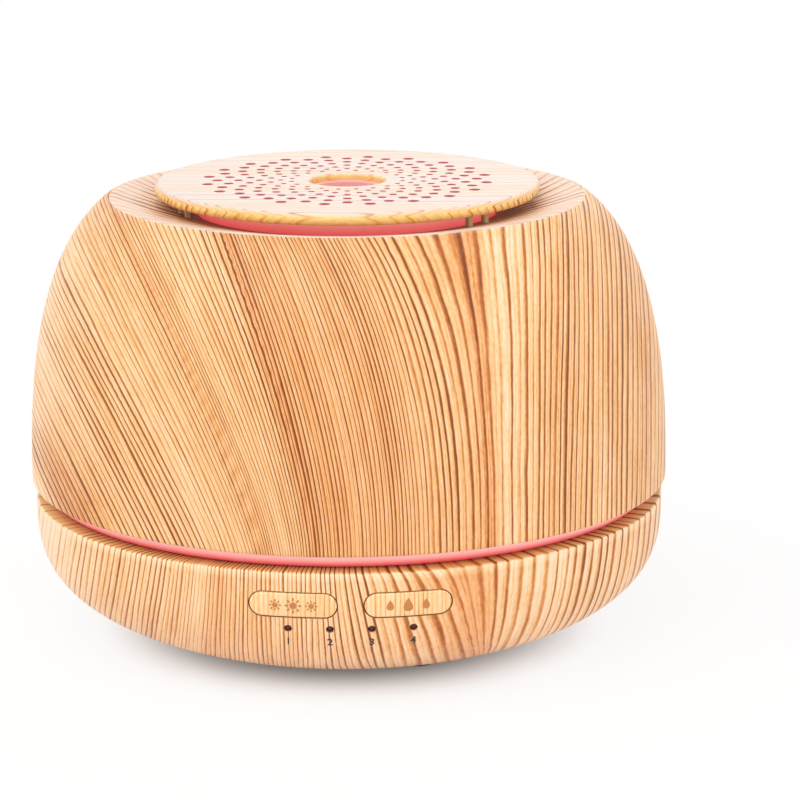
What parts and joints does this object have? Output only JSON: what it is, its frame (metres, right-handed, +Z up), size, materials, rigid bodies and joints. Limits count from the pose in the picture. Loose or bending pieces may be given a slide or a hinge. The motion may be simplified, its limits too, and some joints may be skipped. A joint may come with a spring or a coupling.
{
  "type": "essential oil diffuser",
  "caption": "Round wood-print ultrasonic oil diffuser: domed lift-off cover with a perforated vent disc, lit ring, and a bowl base with two push buttons.",
  "frame": {"origin": "on the floor under the centre, at the height of the feet's undersides", "axes": "+Z up along the round body's axis, buttons facing -Y, power inlet facing +Y"},
  "size_m": [0.168, 0.168, 0.12],
  "materials": {
    "wood_print": "satin wood-grain print",
    "pale_wood_print": "satin pale wood-grain print",
    "translucent": "frosted translucent, lit from inside",
    "tan_plastic": "fine moulded texture",
    "rubber": "matte",
    "silicone": "satin",
    "steel": "plated",
    "circuit_board": "solder-masked laminate",
    "black_plastic": "moulded",
    "white_plastic": "moulded",
    "aluminium": "extruded"
  },
  "bodies": {
    "base": {"lower_shell": "wood_print", "water_tank": "translucent", "bottom_plate": "tan_plastic", "foot_1": "rubber", "foot_2": "rubber", "foot_3": "rubber", "foot_4": "rubber", "bottom_screw_1": "steel", "bottom_screw_2": "steel", "bottom_screw_3": "steel", "bottom_screw_4": "steel", "transducer_disc": "steel", "transducer_seal": "silicone", "transducer_clamp": "steel", "clamp_screw_1": "steel", "clamp_screw_2": "steel", "clamp_screw_3": "steel", "led_board": "circuit_board", "led_1": "white_plastic", "led_2": "white_plastic", "led_3": "white_plastic", "led_4": "white_plastic", "led_5": "white_plastic", "led_6": "white_plastic", "led_screw_1": "steel", "led_screw_2": "steel", "led_screw_3": "steel", "fan_frame": "black_plastic", "fan_gasket": "rubber", "fan_screw_1": "steel", "fan_screw_2": "steel", "main_board": "circuit_board", "inductor": "black_plastic", "capacitor": "black_plastic", "heat_sink": "aluminium", "driver_transistor": "black_plastic", "board_screw_1": "steel", "board_screw_2": "steel", "dc_jack": "black_plastic", "control_board": "circuit_board", "control_screw_1": "steel", "control_screw_2": "steel", "control_screw_3": "steel", "light_switch": "black_plastic", "mist_switch": "black_plastic", "indicator_light_guide": "translucent", "ir_receiver": "black_plastic"},
    "cover": {"upper_shell": "wood_print", "mist_shade": "translucent", "vent_disc": "pale_wood_print", "shade_screw_1": "steel", "shade_screw_2": "steel", "shade_screw_3": "steel"},
    "light_button": {"light_button": "pale_wood_print"},
    "mist_button": {"mist_button": "pale_wood_print"},
    "light_plunger": {"light_plunger": "white_plastic"},
    "mist_plunger": {"mist_plunger": "white_plastic"},
    "fan_rotor": {"fan_rotor": "black_plastic"}
  },
  "joints": [
    {"name": "cover_lift", "type": "slide", "parent": "base", "child": "cover", "axis": [0, 0, 1], "range_m": [0, 0.09]},
    {"name": "light_button_press", "type": "slide", "parent": "base", "child": "light_button", "axis": [0, 1, 0], "range_m": [0, 0.0005], "stiffness_N_per_m": 1000},
    {"name": "mist_button_press", "type": "slide", "parent": "base", "child": "mist_button", "axis": [0, 1, 0], "range_m": [0, 0.0005], "stiffness_N_per_m": 1000},
    {"name": "light_plunger_press", "type": "slide", "parent": "base", "child": "light_plunger", "axis": [0, 1, 0], "range_m": [0, 0.0005]},
    {"name": "mist_plunger_press", "type": "slide", "parent": "base", "child": "mist_plunger", "axis": [0, 1, 0], "range_m": [0, 0.0005]},
    {"name": "fan_spin", "type": "hinge", "parent": "base", "child": "fan_rotor", "pos_m": [0.038, -0.005, 0.0133], "axis": [0, 0, 1], "continuous": true}
  ],
  "couplings": [
    {"joint": "light_plunger_press", "follows": "light_button_press", "ratio": 1},
    {"joint": "mist_plunger_press", "follows": "mist_button_press", "ratio": 1}
  ]
}
